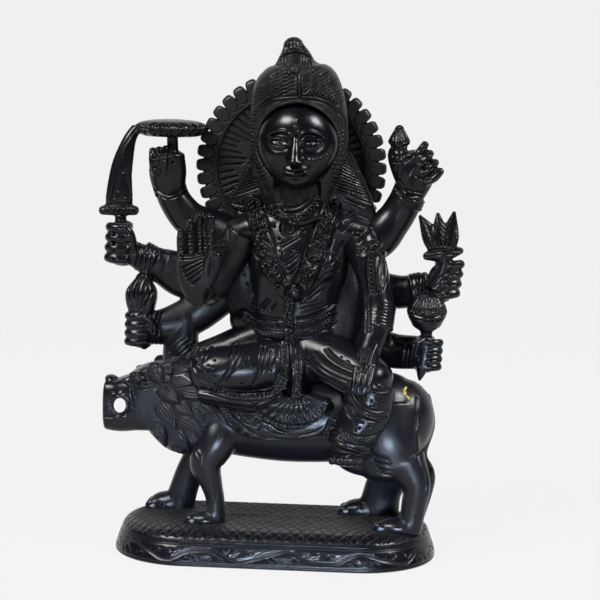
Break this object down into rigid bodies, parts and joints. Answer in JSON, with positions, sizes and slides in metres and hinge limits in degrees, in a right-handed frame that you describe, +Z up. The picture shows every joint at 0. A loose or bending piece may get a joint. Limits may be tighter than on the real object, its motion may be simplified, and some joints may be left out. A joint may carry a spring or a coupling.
{
  "type": "stone figure",
  "caption": "Carved black stone figure of a many-armed goddess riding a lion, with halo and oval plinth in one piece.",
  "frame": {"origin": "middle of the plinth's flat underside", "axes": "+Z up, -Y the front that the figure faces, -X the way the lion walks"},
  "size_m": [0.1382, 0.062, 0.1956],
  "materials": {
    "stone": "polished soft black stone, matt in the cuts"
  },
  "bodies": {
    "root": {"durga_on_lion": "stone"}
  },
  "joints": []
}
